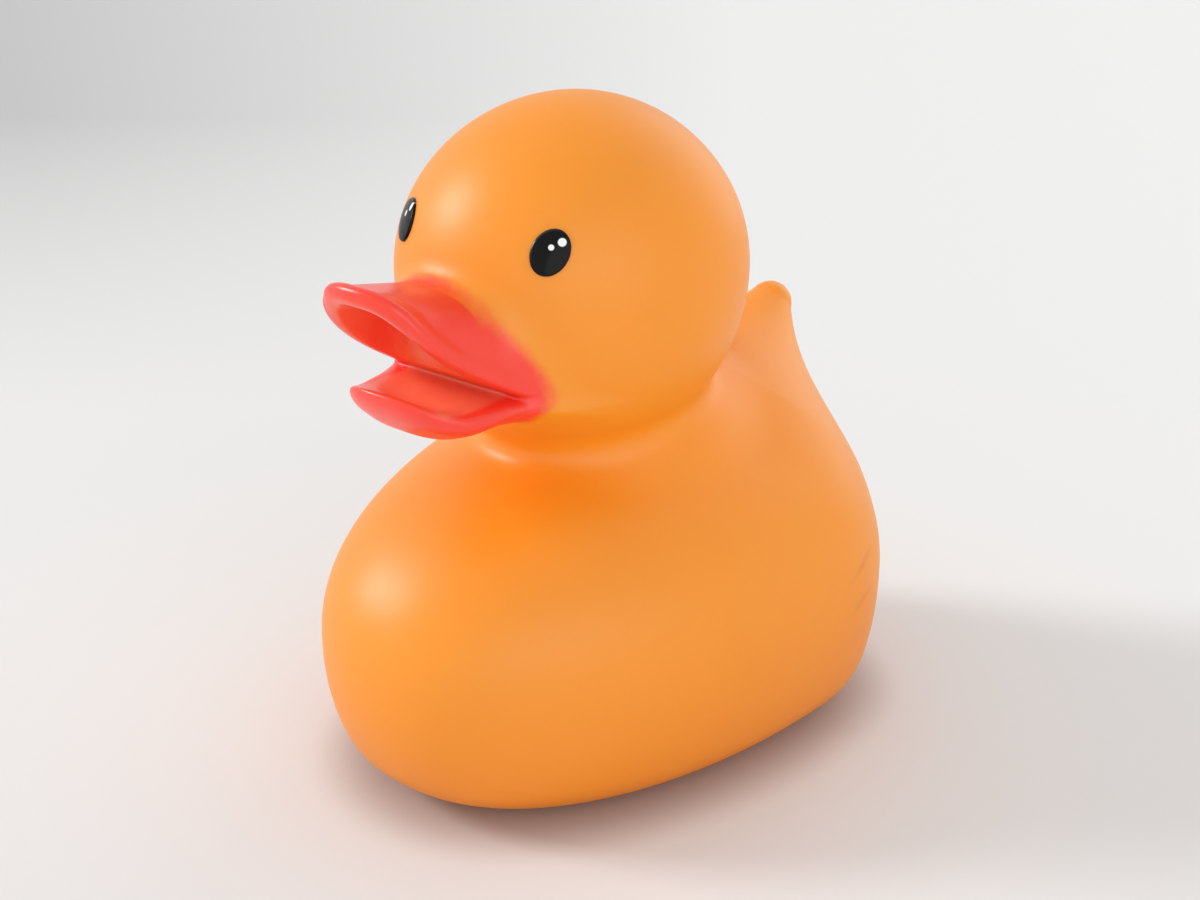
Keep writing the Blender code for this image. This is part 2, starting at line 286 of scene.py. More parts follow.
@dataclass(frozen=True)
class DuckSizes:
    """Sizes of the moulding, as in the solid part. Lengths are in metres."""

    body_y: float = 0.0141
    body_z: float = 0.01956
    body_half_width: float = 0.03259
    body_front: float = 0.05732
    body_back: float = 0.02712
    body_above: float = 0.02652
    body_below: float = 0.03659
    body_fullness: float = 2.2
    body_taper: float = 0.55
    base_fillet: float = 0.0072
    tail_root_back: float = 0.01258
    tail_root_rise: float = 0.01878
    tail_root_radius: float = 0.00854
    tail_tip_back: float = 0.02616
    tail_tip_rise: float = 0.03196
    tail_tip_radius: float = 0.00243
    tail_fillet: float = 0.0215
    neck_forward: float = 0.0118
    neck_rise: float = 0.02244
    neck_radius: float = 0.0171
    neck_half_height: float = 0.0108
    neck_fillet: float = 0.0062
    head_forward: float = 0.01822
    head_rise: float = 0.04676
    head_half_width: float = 0.0225
    head_front: float = 0.02441
    head_back: float = 0.0225
    head_above: float = 0.02202
    head_below: float = 0.02456
    head_fillet: float = 0.0042
    lip_drop: float = 0.01012
    bill_start: float = 0.01958
    bill_narrowing: float = 0.0105
    bill_root_half_width: float = 0.0118
    bill_tip_half_width: float = 0.0095
    bill_root_height: float = 0.0114
    bill_climb: float = 0.18
    bill_arch_fullness: float = 2.5
    bill_tip_fullness: float = 3.0
    bill_wall: float = 0.0022
    bill_lip_radius: float = 0.00125
    bill_fillet: float = 0.0035
    mouth_corner: float = 0.02228
    mouth_reach: float = 0.0151
    mouth_rise: float = 0.0145
    spatula_reach: float = 0.0015
    spatula_half_width: float = 0.0068
    spatula_start: float = 0.35
    spatula_growth: float = 0.6
    throat_depth: float = 0.0019
    throat_fillet: float = 0.005
    lower_start: float = 0.02558
    lower_reach: float = 0.0094
    lower_flare: float = 0.0095
    lower_half_width: float = 0.0102
    lower_fullness: float = 2.5
    lower_lip_radius: float = 0.00125
    lower_lip_drop: float = 0.0006
    lower_root_depth: float = 0.0027
    lower_tip_depth: float = 0.0044
    lower_upturn: float = 0.0027
    lower_level_share: float = 0.32
    belly_edge: float = 1.08
    belly_spread: float = 0.5
    tray_dish: float = 0.0014
    tray_dish_spread: float = 0.0062
    cheek_fillet: float = 0.0035
    lower_fillet: float = 0.006

    @property
    def head_y(self) -> float:
        """Y of the head's centre."""
        return self.body_y - self.head_forward

    @property
    def head_z(self) -> float:
        """Height of the head's centre."""
        return self.body_z + self.head_rise

    @property
    def lip_z(self) -> float:
        """Height of the upper bill's lower edge."""
        return self.head_z - self.lip_drop


class DuckForm:
    """The duck's distance formula, written in the nodes of one tree.

    The roll and inset shares are parts of the bill's lip radius.
    """

    upturn_limit = 1.2
    deepening_share = 0.8
    bill_back_share = 0.25
    edge_roll, foot_inset, foot_roll = 1.6, 0.6, 0.8
    bead_inset, bead_foot = 0.95, 0.4
    throat_roll, floor_roll, mouth_roll = 0.7, 0.25, 0.8

    def __init__(self, size: DuckSizes | SimpleNamespace) -> None:
        """Keep the sizes, plain or as values of the tree, and work out the shared places."""
        self.size = size
        self.head_y = size.body_y - size.head_forward
        self.head_z = size.body_z + size.head_rise
        self.lip_z = self.head_z - size.lip_drop

    @staticmethod
    def egg(x: Value, y: Value, z: Value, half_width: Number, front: Number, back: Number,
            above: Number, below: Number, power: Number) -> Value:
        """Distance to an egg form with its own reach in each direction.

        Args:
            x: Place across, from the egg's centre.
            y: Place along, from the egg's centre.
            z: Place upwards, from the egg's centre.
            half_width: Reach to each side.
            front: Reach towards -Y.
            back: Reach towards +Y.
            above: Reach upwards.
            below: Reach downwards.
            power: 2 for an ellipsoid, more for a fuller form.

        Returns:
            The distance, negative inside.
        """
        reach = back + (front - back) * y.below(0.0)
        height = above + (below - above) * z.below(0.0)
        u = abs(x) / half_width
        v = abs(y) / reach
        w = abs(z) / height
        k = larger(u ** power + v ** power + w ** power, TINY) ** (1.0 / power)
        p = power - 1.0
        slope = (square(u ** p / half_width) + square(v ** p / reach) + square(w ** p / height)).root()
        return (k - 1.0) / larger(slope * larger(k, LEAST_SLOPE) ** (-p), LEAST_SLOPE)

    @staticmethod
    def arch(x: Value, z: Value, half_width: Value, height: Value, power: Number) -> Value:
        """Distance to the upper half of a full arch that stands on z = 0.

        Args:
            x: Place across the arch.
            z: Height above its foot.
            half_width: Half its width.
            height: Its height.
            power: 2 for an ellipse, more for a fuller arch.

        Returns:
            The distance, negative inside.
        """
        half_width = larger(half_width, LEAST_REACH)
        height = larger(height, LEAST_REACH)
        u = larger(abs(x), TINY) / half_width
        w = larger(z, TINY) / height
        k = (u ** power + w ** power) ** (1.0 / power)
        p = power - 1.0
        slope = (square(u ** p / half_width) + square(w ** p / height)).root() * k ** (-p)
        return (k - 1.0) / larger(slope, LEAST_SLOPE)

    def body(self, at: Place) -> Value:
        """Distance to the body with its tail and neck.

        Args:
            at: Place across, along and up.

        Returns:
            The distance, negative inside.
        """
        x, y, z = at
        s = self.size
        along = y - s.body_y
        rise = z - s.body_z
        form = self.egg(x / (1.0 + s.body_taper * along), along, rise, s.body_half_width,
                        s.body_front, s.body_back, s.body_above, s.body_below, s.body_fullness)
        run = s.tail_tip_back - s.tail_root_back
        climb = s.tail_tip_rise - s.tail_root_rise
        from_root = along - s.tail_root_back
        above_root = rise - s.tail_root_rise
        t = ((from_root * run + above_root * climb) / (run * run + climb * climb)).clamped()
        away = (x * x + square(from_root - t * run) + square(above_root - t * climb)).root()
        tail = away - (s.tail_root_radius + (s.tail_tip_radius - s.tail_root_radius) * t)
        neck = self.egg(x, along + s.neck_forward, rise - s.neck_rise, s.neck_radius, s.neck_radius,
                        s.neck_radius, s.neck_half_height, s.neck_half_height, 2.0)
        return soft_min(soft_min(form, tail, s.tail_fillet), neck, s.neck_fillet)

    def head(self, at: Place) -> Value:
        """Distance to the head without its bill.

        Args:
            at: Place across, along and up.

        Returns:
            The distance, negative inside.
        """
        x, y, z = at
        s = self.size
        return self.egg(x, y - self.head_y, z - self.head_z, s.head_half_width, s.head_front,
                        s.head_back, s.head_above, s.head_below, 2.0)

    def tray(self, at: Place, run: Value) -> tuple[Value, Value]:
        """Lower bill and the floor of the mouth.

        Args:
            at: Place across, along and up.
            run: Way forwards from the bill's root.

        Returns:
            The tray's distance and the height of the mouth's floor.
        """
        x, y, z = at
        s = self.size
        lip = s.lower_lip_radius
        start = self.head_y - s.lower_start
        level_run = s.lower_level_share * s.lower_reach
        rise = (start - level_run - y) / (s.lower_reach - level_run)
        rise = smaller(larger(rise, 0.0), self.upturn_limit)
        rim = self.lip_z - s.lower_lip_drop + s.lower_upturn * rise * rise
        full_run = s.lower_start - s.bill_start + self.deepening_share * s.lower_reach
        depth = s.lower_root_depth + (s.lower_tip_depth - s.lower_root_depth) * ease(run / full_run)
        widening = ease((y - start) / s.lower_flare)
        half = s.lower_half_width + (s.bill_root_half_width - s.lower_half_width) * widening
        power = s.lower_fullness
        p = power - 1.0
        u = larger(abs(x), TINY) / half
        v = larger(start - y, 0.0) / s.lower_reach
        plan = (u ** power + v ** power) ** (1.0 / power)
        slope = (square(u ** p / half) + square(v ** p / s.lower_reach)).root() * plan ** (-p)
        side = (plan - 1.0) / larger(slope, LEAST_SLOPE) + lip
        belly = larger(depth - 2.0 * lip, 0.0) * ease((s.belly_edge - plan) / s.belly_spread)
        level = larger(z - (rim - lip), (rim - lip - belly) - z)
        outside = (square(larger(side, 0.0)) + square(larger(level, 0.0))).root()
        tray = outside + smaller(larger(side, level), 0.0) - lip
        throat = self.head_y - s.mouth_corner - s.throat_depth
        floor = rim - s.tray_dish * ease(-side / s.tray_dish_spread) * ease(
            (throat - y) / s.tray_dish_spread)
        return tray, floor

    def bill(self, at: Place) -> tuple[Value, Value, Value]:
        """Whole bill as a filled form, the air before and in the open mouth, and its cavity.

        Args:
            at: Place across, along and up.

        Returns:
            The distances of the bill, of the air and of the cavity alone.
        """
        x, y, z = at
        s = self.size
        corner = self.head_y - s.mouth_corner
        run = larger(self.head_y - s.bill_start - y, 0.0)
        up = z - self.lip_z
        above = larger(up, 0.0)
        along = ease(run / s.bill_narrowing)
        half = s.bill_root_half_width + (s.bill_tip_half_width - s.bill_root_half_width) * along
        height = s.bill_root_height + s.bill_climb * run
        full = s.bill_arch_fullness + (s.bill_tip_fullness - s.bill_arch_fullness) * along
        vault = self.arch(x, above, half, height, full)
        inner = self.arch(x, above, half - s.bill_wall, height - s.bill_wall, full)
        share = (up / s.mouth_rise).clamped()
        spatula = s.spatula_reach * ease((share - s.spatula_start) / s.spatula_growth)
        spatula = spatula * larger(1.0 - square(x / s.spatula_half_width), 0.0)
        line = corner - s.mouth_reach * (1.0 - square(1.0 - share)) - spatula
        lean = square(2.0 * s.mouth_reach * (1.0 - share) / s.mouth_rise)
        ahead = (line - y) / (1.0 + lean).root()
        lip = s.bill_lip_radius
        upper = soft_max(vault, ahead, self.edge_roll * lip)
        upper = soft_max(upper, -up - self.foot_inset * lip, self.foot_roll * lip)
        bead = (square(vault + self.bead_inset * lip) + square(ahead + lip)).root() - lip
        bead = larger(bead, -up - self.bead_foot * lip)
        upper = soft_min(upper, bead, lip)
        tray, floor = self.tray(at, run)
        whole = soft_min(upper, tray, s.cheek_fillet)
        whole = larger(whole, y - self.head_y + self.bill_back_share * s.head_front)
        cavity = soft_max(inner, y - (corner - s.throat_depth), s.throat_fillet)
        air = soft_min(-ahead, cavity, self.throat_roll * lip)
        air = soft_max(air, floor - z, self.floor_roll * lip)
        return whole, air, cavity

    def distance(self, at: Place) -> Value:
        """Distance to the whole moulding.

        Args:
            at: Place across, along and up.

        Returns:
            The distance, negative inside.
        """
        s = self.size
        form = soft_min(self.body(at), self.head(at), s.head_fillet)
        beak, air, _ = self.bill(at)
        low = ease((self.lip_z - at[2]) / s.lower_root_depth)
        form = soft_min(form, beak, s.bill_fillet + (s.lower_fillet - s.bill_fillet) * low)
        form = soft_max(form, -air, self.mouth_roll * s.bill_lip_radius)
        return soft_max(form, -at[2], s.base_fillet)


def socket_title(name: str) -> str:
    """A size's name as a node input's title."""
    return name.replace("_", " ").capitalize()


def size_inputs(tree: bpy.types.NodeTree, sizes: DuckSizes) -> None:
    """Give a tree one named input for each of the duck's sizes.

    Args:
        tree: The tree that gets the inputs.
        sizes: The sizes, which become the inputs' defaults.
    """
    for item in fields(sizes):
        socket = tree.interface.new_socket(socket_title(item.name), in_out="INPUT",
                                           socket_type="NodeSocketFloat")
        socket.default_value = getattr(sizes, item.name)


def distance_group(sizes: DuckSizes) -> bpy.types.NodeTree:
    """Node group that turns a place into the distance from the duck's surface.

    Args:
        sizes: The duck's sizes.

    Returns:
        The group.
    """
    tree = bpy.data.node_groups.new("duck_distance", "GeometryNodeTree")
    tree.interface.new_socket("Place", in_out="INPUT", socket_type="NodeSocketVector")
    size_inputs(tree, sizes)
    tree.interface.new_socket("Distance", in_out="OUTPUT", socket_type="NodeSocketFloat")
    nodes = Nodes(tree)
    given = nodes.add("NodeGroupInput")
    named = {item.name: Value(nodes, given.outputs[socket_title(item.name)]) for item in fields(sizes)}
    at = nodes.split(given.outputs["Place"])
    form = DuckForm(SimpleNamespace(**named))
    nodes.add("NodeGroupOutput", None, {"Distance": form.distance(at)})
    return tree


@dataclass(frozen=True)
class SkinMaker:
    """Grows the duck's fine skin from its distance formula."""

    sizes: DuckSizes
    step: float = 0.0005
    margin: float = 0.0025
    probe: float = 0.00006
    passes: int = 4
    settle_share: float = 0.9
    least_steepness: float = 0.25
    longest_move: float = 0.5

    def limits(self) -> tuple[Vector, Vector]:
        """Box that holds the skin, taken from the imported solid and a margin."""
        low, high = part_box("duck_body")
        edge = Vector((self.margin, self.margin, self.margin))
        return low - edge, high + edge

    def tree(self, material: bpy.types.Material) -> bpy.types.NodeTree:
        """Geometry Nodes tree of the skin.

        Args:
            material: The finish that the skin gets.

        Returns:
            The tree, with a named input for each size.
        """
        group = distance_group(self.sizes)
        tree = bpy.data.node_groups.new("duck_skin", "GeometryNodeTree")
        size_inputs(tree, self.sizes)
        for name in ("Lowest corner", "Highest corner"):
            tree.interface.new_socket(name, in_out="INPUT", socket_type="NodeSocketVector")
        tree.interface.new_socket("Step", in_out="INPUT", socket_type="NodeSocketFloat")
        tree.interface.new_socket("Geometry", in_out="OUTPUT", socket_type="NodeSocketGeometry")
        nodes = Nodes(tree)
        given = nodes.add("NodeGroupInput")
        place = nodes.add("GeometryNodeInputPosition").outputs[0]
        low = given.outputs["Lowest corner"]
        high = given.outputs["Highest corner"]
        step = Value(nodes, given.outputs["Step"])
        counts = [side / step + 1.0 for side in nodes.split(nodes.vector("SUBTRACT", high, low))]
        density = -self.read(nodes, group, given, place)
        cube = nodes.add("GeometryNodeVolumeCube", None, {
            "Density": density, "Background": -1.0, "Min": low, "Max": high,
            "Resolution X": counts[0], "Resolution Y": counts[1], "Resolution Z": counts[2]})
        shell = nodes.add("GeometryNodeVolumeToMesh", {"resolution_mode": "GRID"},
                          {"Volume": cube.outputs[0], "Threshold": 0.0, "Adaptivity": 0.0})
        geometry = shell.outputs[0]
        slope, value = self.slope(nodes, group, given, place)
        steep = larger(nodes.vector("DOT_PRODUCT", slope, slope, output=1), self.least_steepness)
        shift = nodes.vector("SCALE", slope, -self.settle_share * value / steep)
        reach = nodes.vector("SCALE", (1.0, 1.0, 1.0), self.longest_move * step)
        shift = nodes.vector("MINIMUM", shift, reach)
        shift = nodes.vector("MAXIMUM", shift, nodes.vector("SCALE", reach, -1.0))
        for _ in range(self.passes):
            move = nodes.add("GeometryNodeSetPosition", None, {"Geometry": geometry, "Offset": shift})
            geometry = move.outputs[0]
        store = nodes.add("GeometryNodeStoreNamedAttribute",
                          {"data_type": "FLOAT_VECTOR", "domain": "POINT"},
                          {"Geometry": geometry, "Name": "slope", "Value": slope})
        smooth = nodes.add("GeometryNodeSetShadeSmooth", None, {0: store.outputs[0]})
        real = nodes.add("GeometryNodeRealizeInstances", None, {0: smooth.outputs[0]})
        dressed = nodes.add("GeometryNodeSetMaterial", None,
                            {"Geometry": real.outputs[0], "Material": material})
        nodes.add("NodeGroupOutput", None, {0: dressed.outputs[0]})
        return tree

    def read(self, nodes: Nodes, group: bpy.types.NodeTree, given: bpy.types.Node, place: Any) -> Value:
        """Distance from the surface at a place.

        Args:
            nodes: The tree's helper.
            group: The distance group.
            given: The tree's input node, whose sizes are passed on.
            place: Where the distance is read.

        Returns:
            The distance, negative inside.
        """
        node = nodes.add("GeometryNodeGroup", {"node_tree": group}, {"Place": place})
        for item in fields(self.sizes):
            title = socket_title(item.name)
            nodes.feed(node.inputs[title], given.outputs[title])
        return Value(nodes, node.outputs[0])

    def slope(self, nodes: Nodes, group: bpy.types.NodeTree, given: bpy.types.Node,
              place: Any) -> tuple[Value, Value]:
        """Slope and mean of the distance around a place, from four probes.

        Args:
            nodes: The tree's helper.
            group: The distance group.
            given: The tree's input node.
            place: Where the slope is read.

        Returns:
            The slope as a vector, and the distance.
        """
        total = None
        mean = None
        for corner in ((1, -1, -1), (-1, -1, 1), (-1, 1, -1), (1, 1, 1)):
            spot = nodes.vector("ADD", place, tuple(self.probe * side for side in corner))
            value = self.read(nodes, group, given, spot)
            part = nodes.vector("SCALE", tuple(0.25 / self.probe * side for side in corner), value)
            total = part if total is None else nodes.vector("ADD", total, part)
            mean = value * 0.25 if mean is None else mean + value * 0.25
        return total, mean

    def grow(self, name: str, material: bpy.types.Material) -> bpy.types.Object:
        """Run the tree once and keep its result as a plain mesh.

        Args:
            name: The piece's name.
            material: Its finish.

        Returns:
            The finished object.
        """
        thing = new_object(name, bpy.data.meshes.new(name + "_seed"))
        tree = self.tree(material)
        grower = thing.modifiers.new("skin", "NODES")
        grower.node_group = tree
        low, high = self.limits()
        values = {"Lowest corner": low, "Highest corner": high, "Step": self.step}
        for item in tree.interface.items_tree:
            if item.in_out == "INPUT":
                given = values.get(item.name)
                grower[item.identifier] = item.default_value if given is None else given
        graph = bpy.context.evaluated_depsgraph_get()
        mesh = bpy.data.meshes.new_from_object(
            thing.evaluated_get(graph), preserve_all_data_layers=True, depsgraph=graph)
        thing.modifiers.remove(grower)
        thing.data = mesh
        mesh.name = name
        self.true_normals(mesh)
        return thing

    @staticmethod
    def true_normals(mesh: bpy.types.Mesh) -> None:
        """Point each vertex normal along the slope of the formula.

        Args:
            mesh: The skin, whose slope attribute is used up.
        """
        slope = np.zeros(len(mesh.vertices) * 3, dtype=np.float32)
        mesh.attributes["slope"].data.foreach_get("vector", slope)
        slope = slope.reshape(-1, 3)
        slope = slope / np.maximum(np.linalg.norm(slope, axis=1), 1e-6)[:, None]
        mesh.attributes.remove(mesh.attributes["slope"])
        mesh.normals_split_custom_set_from_vertices(slope.tolist())


def new_object(name: str, data: bpy.types.ID) -> bpy.types.Object:
    """Object at the origin.

    Args:
        name: The object's name.
        data: Its mesh, lamp or camera.

    Returns:
        The object, linked to the scene.
    """
    thing = bpy.data.objects.new(name, data)
    bpy.context.scene.collection.objects.link(thing)
    return thing


def new_material(name: str) -> tuple[bpy.types.Material, Nodes, bpy.types.Node]:
    """Empty Principled material.

    Args:
        name: The material's name.

    Returns:
        The material, its tree's helper and its Principled node.
    """
    material = bpy.data.materials.new(name)
    material.use_nodes = True
    nodes = Nodes(material.node_tree)
    return material, nodes, material.node_tree.nodes["Principled BSDF"]


@dataclass(frozen=True)
class VinylFinish:
    """Satin orange vinyl with a coral bill, sprayed with a soft edge, darker near the base and in the
    folds as painted shade, and with a painted sheen inside the mouth.
    """

    sizes: DuckSizes
    orange: Colour = (0.95, 0.305, 0.010, 1.0)
    # Darker orange used as painted shade towards the base and in the folds.
    foot_orange: Colour = (0.87, 0.25, 0.001, 1.0)
    foot_shade_reach: float = 0.028
    coral: Colour = (0.97, 0.050, 0.024, 1.0)
    # Paler coral inside the mouth: partly thinner paint, partly painted sheen that lightens the shaded
    # hollow.
    inner_coral_and_sheen: Colour = (1.0, 0.115, 0.052, 1.0)
    # Paler coral on the tray: partly thinner paint, partly painted sheen and highlight streaks.
    tray_coral_and_sheen: Colour = (0.97, 0.235, 0.125, 1.0)
    crease_coral: Colour = (0.95, 0.19, 0.022, 1.0)
    thin_reach: float = 0.0006
    tray_skin: float = 0.0005
    crease_reach: float = 0.004
    vinyl_roughness: float = 0.44
    paint_roughness: float = 0.29
    specular: float = 0.60
    glow: float = 0.12
    glow_reach: float = 0.003
    glow_radius: tuple = (1.0, 0.35, 0.1)
    grain_strength: float = 0.35
    grain_height: float = 0.00004
    fine_grain: tuple = (2600.0, 0.4)
    coarse_grain: tuple = (420.0, 0.6)
    cloud_waves: float = 55.0
    cloud_shades: tuple = (0.97, 1.02)
    cloud_roughness: float = 0.05
    spray_waves: float = 900.0
    sheen_streak_waves: float = 260.0
    paint_half_width: float = 0.0131
    paint_rise: float = 0.0148
    paint_drop: float = 0.0030
    paint_foot: float = 0.0015
    paint_fullness: float = 2.0
    bill_clear: float = 0.0029
    neck_clear: float = 0.0075
    feather: float = 0.0012
    front_share: float = 0.5
    front_feather: float = 0.002
    tray_tip_clear: float = 1.5
    tray_side_clear: float = 1.9
    ragged: float = 0.0005
    fold_half_width: float = 0.0009
    fold_depth: float = 14.0
    # Share of painted shade: the folds are darkened in colour by this share, as shade in a crease.
    fold_painted_shade: float = 0.8
    fold_lines: tuple = ((0.0145, 0.0176, 0.0215, 0.0206), (0.0150, 0.0228, 0.0220, 0.0262),
                         (0.0160, 0.0128, 0.0215, 0.0152))

    def paint(self, nodes: Nodes, place: Any) -> Value:
        """Share of bill paint at a place.

        Args:
            nodes: The material tree's helper.
            place: Object coordinates.

        Returns:
            0 on bare vinyl, 1 under full paint.
        """
        size = self.sizes
        at = nodes.split(place)
        x, y, z = at
        front = size.head_y - size.head_front - y
        rise = z - (size.lip_z - self.paint_foot)
        height = self.paint_rise + (self.paint_drop - self.paint_rise) * rise.below(0.0)
        drop = larger(front, 0.0) * rise.below(0.0)
        u = abs(x) / self.paint_half_width
        w = abs(rise) / (height + drop)
        power = self.paint_fullness
        shape = (u ** power + w ** power) ** (1.0 / power)
        edge = (1.0 - shape) * self.paint_half_width
        edge = edge + (nodes.noise(place, self.spray_waves, 3.0) - 0.5) * self.ragged
        form = DuckForm(size)
        edge = larger(edge, form.head(at) - self.bill_clear)
        mask = (edge / self.feather + 0.5).clamped()
        front_start = size.head_y - self.front_share * size.head_front
        ahead = ((front_start - y) / self.front_feather).clamped()
        above_neck = ((z - (size.lip_z - self.neck_clear)) / self.feather).clamped()
        return ease(mask) * ahead * above_neck

    def mouth(self, nodes: Nodes, place: Any) -> Value:
        """Colour of the painted bill, paler inside the open mouth from thinner paint and painted sheen.

        Args:
            nodes: The material tree's helper.
            place: Object coordinates.

        Returns:
            Coral outside, paler inside and on the tray from thinner paint and painted sheen, with painted
            highlight streaks on the tray, warmer deep in the crease.
        """
        size = self.sizes
        at = nodes.split(place)
        x, y, z = at
        form = DuckForm(size)
        _, _, cavity = form.bill(at)
        _, floor = form.tray(at, larger(size.head_y - size.bill_start - y, 0.0))
        hollow = larger(cavity, floor - z)
        inside = ease(0.5 - (hollow - self.thin_reach) / (2.0 * self.thin_reach))
        deep = ease((y - (size.head_y - size.mouth_corner)) / self.crease_reach + 1.0)
        # Inside the mouth the coral is paler: partly thinner paint, partly painted sheen.
        colour = nodes.mix(inside, self.coral, nodes.mix(deep, self.inner_coral_and_sheen, self.crease_coral))
        lip = size.lower_lip_radius
        tip = size.head_y - size.lower_start - size.lower_reach
        on_tray = 1.0 - ease((abs(z - floor) - self.tray_skin) / self.tray_skin)
        on_tray = on_tray * ease((y - tip) / lip - self.tray_tip_clear)
        beside = ease((abs(x) - size.lower_half_width) / lip + self.tray_side_clear)
        on_tray = on_tray * (1.0 - beside)
        # Painted sheen: paler streaks of highlight across the tray.
        sheen_streak = 0.5 + nodes.noise(place, self.sheen_streak_waves) * 0.5
        return nodes.mix(on_tray * sheen_streak, colour, self.tray_coral_and_sheen)

    def material(self) -> bpy.types.Material:
        """Build the finish.

        Returns:
            The material.
        """
        material, nodes, shader = new_material("orange_vinyl_and_coral_paint")
        place = nodes.add("ShaderNodeTexCoord").outputs["Object"]
        paint = self.paint(nodes, place)
        cloud = nodes.noise(place, self.cloud_waves)
        height = nodes.split(place)[2]
        # Painted shade: the orange turns darker towards the base, where less light reaches.
        painted_foot_shade = 1.0 - ease(height / self.foot_shade_reach)
        orange = nodes.mix(cloud, *(self.shade(self.orange, factor) for factor in self.cloud_shades))
        # The folds darken the colour as painted shade, besides their bump.
        folds = self.folds(nodes, place)
        orange = nodes.mix(larger(painted_foot_shade, folds * self.fold_painted_shade), orange, self.foot_orange)
        colour = nodes.mix(paint, orange, self.mouth(nodes, place))
        nodes.feed(shader.inputs["Base Color"], colour)
        rough = self.vinyl_roughness + (self.paint_roughness - self.vinyl_roughness) * paint
        nodes.feed(shader.inputs["Roughness"], rough + (cloud - 0.5) * self.cloud_roughness)
        shader.inputs["Specular IOR Level"].default_value = self.specular
        shader.inputs["Subsurface Weight"].default_value = self.glow
        shader.inputs["Subsurface Radius"].default_value = self.glow_radius
        shader.inputs["Subsurface Scale"].default_value = self.glow_reach
        grains = (self.fine_grain, self.coarse_grain)
        fine, coarse = (nodes.noise(place, waves) * part for waves, part in grains)
        grain = fine + coarse
        bump = nodes.add("ShaderNodeBump", None, {
            "Strength": self.grain_strength, "Distance": self.grain_height,
            "Height": grain - folds * self.fold_depth})
        nodes.feed(shader.inputs["Normal"], bump.outputs[0])
        return material

    def folds(self, nodes: Nodes, place: Any) -> Value:
        """Depth of the faint folds in the rear of the left flank, used for their bump and their painted
        shade.

        Args:
            nodes: The material tree's helper.
            place: Object coordinates.

        Returns:
            1 in the middle of a fold, 0 away from all of them.
        """
        x, y, z = nodes.split(place)
        depth = None
        for low_y, low_z, high_y, high_z in self.fold_lines:
            run = high_y - low_y
            climb = high_z - low_z
            t = (((y - low_y) * run + (z - low_z) * climb) / (run * run + climb * climb)).clamped()
            away = (square(y - low_y - t * run) + square(z - low_z - t * climb)).root()
            fold = ease(1.0 - away / self.fold_half_width) * (4.0 * t * (1.0 - t))
            depth = fold if depth is None else larger(depth, fold)
        return depth * (1.0 - x.below(0.0))

    @staticmethod
    def shade(colour: Colour, factor: float) -> Colour:
        """A colour made lighter or darker, kept under full strength."""
        return tuple(min(1.0, part * factor) for part in colour[:3]) + (1.0,)


class Side(Enum):
    """The duck's own left or right, as the sign of X."""

    LEFT = 1.0
    RIGHT = -1.0


@dataclass(frozen=True)
class EyeFinish:
    """Glossy near-black with two painted highlights and a bright polished rim.

    Each highlight is its place to the right and up the eye, its half width and its half height.
    """

    black: Colour = (0.007, 0.007, 0.0075, 1.0)
    white: Colour = (0.93, 0.93, 0.93, 1.0)
    glints: tuple = ((0.00135, 0.00119, 0.00050, 0.00050), (0.00011, 0.00054, 0.00035, 0.00035))
    steep_glints: ClassVar[tuple] = ((0.00082, 0.00170, 0.00032, 0.00056),
                                     (0.00006, 0.00066, 0.00026, 0.00040))
    edge: float = 0.00008
    rim_start: float = 0.93
    rim_feather: float = 0.05
    rim_lean: float = 0.3
    specular: float = 0.12
    coat_roughness: float = 0.12
    roughness: float = 0.10
    grain_roughness: float = 0.05
    glint_roughness: float = 0.12
    grain_waves: float = 1800.0
    grain_strength: float = 0.2
    grain_height: float = 0.00002

    def material(self, name: str, centre: Vector, right: Vector, high: Vector,
                 half_axes: tuple[Vector, Vector]) -> bpy.types.Material:
        """Build the finish for one eye.

        Args:
            name: The material's name.
            centre: Middle of the eye.
            right: Direction to the right of someone who faces the eye.
            high: Direction up the eye.
            half_axes: The oval's half width and half height, as vectors.

        Returns:
            The material.
        """
        material, nodes, shader = new_material(name)
        place = nodes.add("ShaderNodeTexCoord").outputs["Object"]
        from_centre = nodes.vector("SUBTRACT", place, tuple(centre))
        across = nodes.vector("DOT_PRODUCT", from_centre, tuple(right), output=1)
        along = nodes.vector("DOT_PRODUCT", from_centre, tuple(high), output=1)
        mask = None
        for over, up, half_width, half_height in self.glints:
            away = (square((across - over) / half_width) + square((along - up) / half_height)).root()
            spot = ((1.0 - away) * half_width / self.edge + 0.5).clamped()
            mask = spot if mask is None else larger(mask, spot)
        nodes.feed(shader.inputs["Base Color"], nodes.mix(mask, self.black, self.white))
        share = None
        for half in half_axes:
            across_oval = tuple(half / half.length_squared)
            part = square(nodes.vector("DOT_PRODUCT", from_centre, across_oval, output=1))
            share = part if share is None else share + part
        lit = ((along - across) / half_axes[0].length - self.rim_lean).clamped()
        rim = ((share - self.rim_start ** 2) / self.rim_feather).clamped()
        nodes.feed(shader.inputs["Coat Weight"], lit * rim)
        shader.inputs["Coat Roughness"].default_value = self.coat_roughness
        grain = nodes.noise(place, self.grain_waves)
        rough = self.roughness + self.grain_roughness * grain + self.glint_roughness * mask
        nodes.feed(shader.inputs["Roughness"], rough)
        shader.inputs["Specular IOR Level"].default_value = self.specular
        bump = nodes.add("ShaderNodeBump", None, {
            "Strength": self.grain_strength, "Distance": self.grain_height, "Height": grain})
        nodes.feed(shader.inputs["Normal"], bump.outputs[0])
        return material


